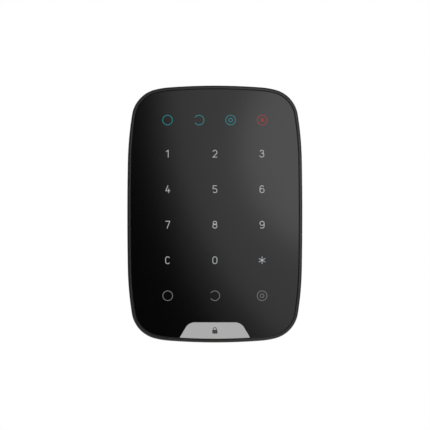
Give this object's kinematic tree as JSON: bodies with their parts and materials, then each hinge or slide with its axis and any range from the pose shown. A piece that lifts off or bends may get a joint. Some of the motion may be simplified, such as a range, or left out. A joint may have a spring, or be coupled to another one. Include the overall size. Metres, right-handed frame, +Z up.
{
  "type": "alarm keypad panel",
  "caption": "Slim wall-hung alarm keypad: glossy black touch panel with lit digits and ring signs, tapered two-shell housing and a slide-on wall bracket.",
  "frame": {"origin": "centre of the wall bracket's back face, on the wall", "axes": "+Y into the wall, so the touch panel faces -Y; +Z up; +X to the right for a person facing the panel"},
  "size_m": [0.1024, 0.014, 0.15],
  "materials": {
    "bracket_abs": "fine moulded texture, black",
    "housing_abs": "fine moulded texture, black",
    "frame_abs": "satin moulded, black",
    "panel_acrylic": "satin gloss black, etched",
    "badge": "satin light grey lacquer",
    "sign_white": "lit window, cool white",
    "sign_dim": "lit window, dim",
    "sign_teal": "lit window, teal",
    "sign_red": "lit window, dull red",
    "foam_tape": "acrylic foam tape, black",
    "diffuser_pet": "milky film",
    "mask_foam": "black moulded light grid",
    "board_fr4": "green solder mask",
    "radio_fr4": "blue solder mask",
    "copper": "bare copper with a clear coat",
    "led_white": "clear resin over phosphor",
    "led_teal": "clear resin, teal",
    "led_red": "clear resin, red",
    "chip_epoxy": "moulded epoxy, black",
    "ceramic_parts": "fired ceramic, tan",
    "shield_tin": "tin-plated steel",
    "gold_strip": "gold-flashed strip",
    "buzzer_pbt": "moulded, black",
    "brass": "turned brass",
    "switch_pbt": "moulded, dark grey",
    "holder_abs": "moulded, black",
    "nickel_spring": "nickel-plated spring steel",
    "cell_wrap": "shrink film over steel",
    "zinc_steel": "bright zinc plate",
    "black_steel": "black zinc plate",
    "label_paper": "blank film label, silver grey",
    "pin_pom": "natural acetal",
    "key_abs": "moulded, dark grey"
  },
  "bodies": {
    "wall_bracket": {"mounting_bracket": "bracket_abs"},
    "keypad": {"rear_cover": "housing_abs", "front_frame": "frame_abs", "housing_screws": "zinc_steel", "threaded_insert": "brass", "rating_label": "label_paper", "touch_panel": "panel_acrylic", "panel_tape": "foam_tape", "badge_plate": "badge", "key_legends": "sign_white", "mode_legends": "sign_dim", "status_legends": "sign_teal", "fault_legend": "sign_red", "diffuser_film": "diffuser_pet", "light_mask": "mask_foam", "touch_board": "board_fr4", "key_electrodes": "copper", "key_leds": "led_white", "status_leds": "led_teal", "fault_led": "led_red", "touch_controller": "chip_epoxy", "microcontroller": "chip_epoxy", "chip_components": "ceramic_parts", "radio_board": "radio_fr4", "radio_shield": "shield_tin", "main_antenna": "gold_strip", "second_antenna": "gold_strip", "buzzer_case": "buzzer_pbt", "buzzer_disc": "brass", "tamper_switch": "switch_pbt", "power_switch": "switch_pbt", "battery_holder": "holder_abs", "contact_springs": "nickel_spring", "contact_plates": "nickel_spring", "bridge_contact": "nickel_spring", "cell_1": "cell_wrap", "cell_2": "cell_wrap", "cell_3": "cell_wrap", "cell_4": "cell_wrap", "tamper_spring": "nickel_spring"},
    "lock_washer": {"retaining_washer": "zinc_steel"},
    "lock_screw": {"retaining_screw": "black_steel"},
    "tamper_pin": {"tamper_plunger": "pin_pom"},
    "power_key": {"power_button": "key_abs"}
  },
  "joints": [
    {"name": "keypad_lift", "type": "slide", "parent": "wall_bracket", "child": "keypad", "axis": [0, 0, 1], "range_m": [0, 0.006]},
    {"name": "lock_back_out", "type": "slide", "parent": "wall_bracket", "child": "lock_washer", "axis": [0, 0, -1], "range_m": [0, 0.004]},
    {"name": "lock_turn", "type": "hinge", "parent": "lock_washer", "child": "lock_screw", "pos_m": [0, -0.0043, -0.0739], "axis": [0, 0, -1], "range_deg": [0, 3200.1]},
    {"name": "tamper_press", "type": "slide", "parent": "keypad", "child": "tamper_pin", "axis": [0, -1, 0], "range_m": [0, 0.0006], "stiffness_N_per_m": 300, "deforming": ["tamper_spring"]},
    {"name": "power_press", "type": "slide", "parent": "keypad", "child": "power_key", "axis": [0, -1, 0], "range_m": [0, 0.0003], "stiffness_N_per_m": 1500}
  ],
  "couplings": [
    {"joint": "lock_turn", "follows": "lock_back_out", "rad_per_m": 13963}
  ]
}
